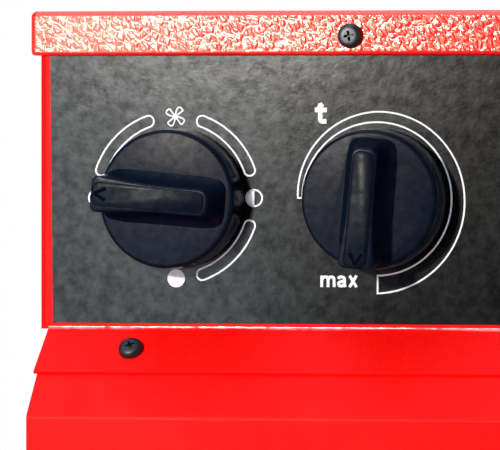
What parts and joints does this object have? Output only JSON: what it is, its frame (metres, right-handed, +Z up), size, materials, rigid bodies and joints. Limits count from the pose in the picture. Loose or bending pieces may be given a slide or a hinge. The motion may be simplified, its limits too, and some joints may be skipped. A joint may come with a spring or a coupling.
{
  "type": "forced air heater",
  "caption": "Box-shaped forced air heater with a folded steel casing, a control console on top with two rotary knobs, a round outlet, a carrying handle and a tilting tube stand.",
  "frame": {"origin": "on the floor, under the middle of the object's box", "axes": "+Z up, front of the heater towards -Y, +X to the right of a person who faces it"},
  "size_m": [0.25, 0.28, 0.3868],
  "materials": {
    "red_hammer_paint": "hammered powder coat",
    "black_paint": "satin powder coat",
    "label_film": "printed film over the textured paint",
    "knob_plastic": "fine satin",
    "switch_plastic": "satin",
    "zinc_steel": "zinc plated",
    "black_screw": "black passivated",
    "brass": "satin",
    "copper": "drawn tube",
    "lens_amber": "moulded lens",
    "button_red": "gloss",
    "seal_rubber": "matt",
    "duct_steel": "aluminised sheet",
    "element_steel": "heat tinted sheath",
    "fan_aluminium": "stamped sheet",
    "stack_steel": "laminated steel",
    "coil_winding": "taped coil"
  },
  "bodies": {
    "stand": {"stand_frame": "black_paint", "foot_caps": "seal_rubber"},
    "heater": {"front_wrap": "red_hammer_paint", "left_side_panel": "red_hammer_paint", "right_side_panel": "red_hammer_paint", "base_tray": "red_hammer_paint", "rear_panel": "red_hammer_paint", "console_cover": "red_hammer_paint", "console_back": "red_hammer_paint", "console_lid": "red_hammer_paint", "control_label": "label_film", "selector_switch": "switch_plastic", "selector_terminals": "brass", "thermostat_body": "zinc_steel", "thermostat_terminals": "brass", "thermostat_capsule": "brass", "thermostat_capillary": "copper", "lamp_holder": "knob_plastic", "lamp_lens": "lens_amber", "cutout_body": "knob_plastic", "cutout_nut": "zinc_steel", "terminal_block": "switch_plastic", "gland_body": "knob_plastic", "gland_nut": "knob_plastic", "gland_seal": "seal_rubber", "gland_locknut": "knob_plastic", "air_duct": "duct_steel", "element_outer": "element_steel", "element_middle": "element_steel", "element_inner": "element_steel", "element_combs": "duct_steel", "outlet_grille": "black_paint", "inlet_guard": "black_paint", "motor_stack": "stack_steel", "motor_coil": "coil_winding", "front_bearing_bridge": "zinc_steel", "rear_bearing_bridge": "zinc_steel", "motor_strap": "zinc_steel", "motor_screws": "zinc_steel", "handle_bar": "black_paint", "handle_grip": "seal_rubber", "pivot_washers": "seal_rubber", "pivot_nuts": "zinc_steel", "console_screws": "black_screw", "casing_screws": "black_screw", "handle_screws": "black_screw"},
    "selector": {"selector_knob": "knob_plastic", "selector_insert": "knob_plastic", "selector_spindle": "zinc_steel"},
    "thermostat": {"thermostat_knob": "knob_plastic", "thermostat_insert": "knob_plastic", "thermostat_spindle": "zinc_steel"},
    "fan": {"fan_rotor": "fan_aluminium", "motor_shaft": "zinc_steel", "rotor_core": "stack_steel"},
    "reset": {"reset_button": "button_red"},
    "left_clamp": {"left_clamp_knob": "knob_plastic", "left_clamp_stud": "zinc_steel"},
    "right_clamp": {"right_clamp_knob": "knob_plastic", "right_clamp_stud": "zinc_steel"}
  },
  "joints": [
    {"name": "heater_tilt", "type": "hinge", "parent": "stand", "child": "heater", "pos_m": [0, 0, 0.168], "axis": [-1, 0, 0], "range_deg": [-10, 20]},
    {"name": "selector_turn", "type": "hinge", "parent": "heater", "child": "selector", "pos_m": [-0.0583, -0.0997, 0.32611], "axis": [0, 1, 0], "range_deg": [0, 270]},
    {"name": "thermostat_turn", "type": "hinge", "parent": "heater", "child": "thermostat", "pos_m": [0.0087, -0.0997, 0.32611], "axis": [0, 1, 0], "range_deg": [-270, 0]},
    {"name": "fan_spin", "type": "hinge", "parent": "heater", "child": "fan", "pos_m": [0, 0.072, 0.157], "axis": [0, 1, 0], "continuous": true},
    {"name": "reset_press", "type": "slide", "parent": "heater", "child": "reset", "axis": [0, 1, 0], "range_m": [0, 0.0025], "stiffness_N_per_m": 400, "springref_m": -0.002},
    {"name": "left_clamp_turn", "type": "hinge", "parent": "heater", "child": "left_clamp", "pos_m": [-0.117, 0, 0.168], "axis": [1, 0, 0], "range_deg": [0, 360]},
    {"name": "right_clamp_turn", "type": "hinge", "parent": "heater", "child": "right_clamp", "pos_m": [0.117, 0, 0.168], "axis": [-1, 0, 0], "range_deg": [0, 360]}
  ]
}
